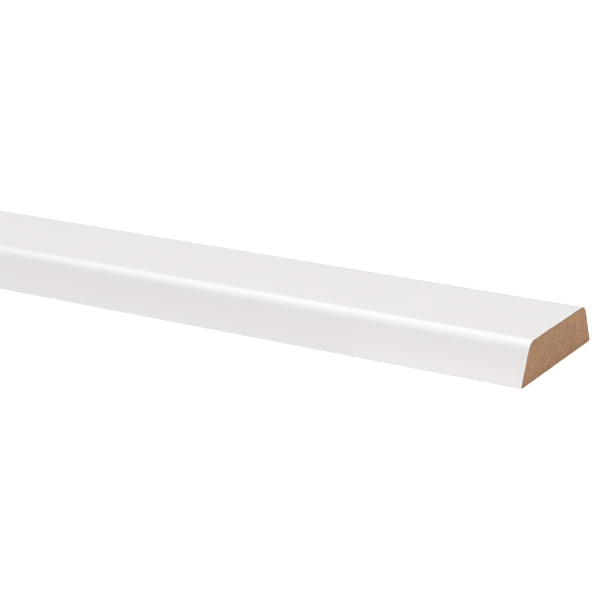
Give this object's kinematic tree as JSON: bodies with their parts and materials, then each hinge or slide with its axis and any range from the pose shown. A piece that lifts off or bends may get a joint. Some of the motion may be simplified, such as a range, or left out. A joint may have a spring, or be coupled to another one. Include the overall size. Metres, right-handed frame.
{
  "type": "bevelled moulding length",
  "caption": "Straight length of flat ceiling moulding in MDF with a white satin finish: trapezium section, both sides sloping, rounded face arrises, square-cut bare ends, flat back for fixing.",
  "frame": {"origin": "middle of the flat back, on the surface that the moulding lies on", "axes": "+X along the length, +Y across the width, +Z from the back to the face"},
  "size_m": [0.22, 0.048, 0.012],
  "materials": {
    "white_finish": "satin white film on MDF, on the face and both sloping sides",
    "bare_mdf": "bare sawn MDF at both ends, bare sanded MDF on the back"
  },
  "bodies": {
    "root": {"moulding_length": "white_finish"}
  },
  "joints": []
}
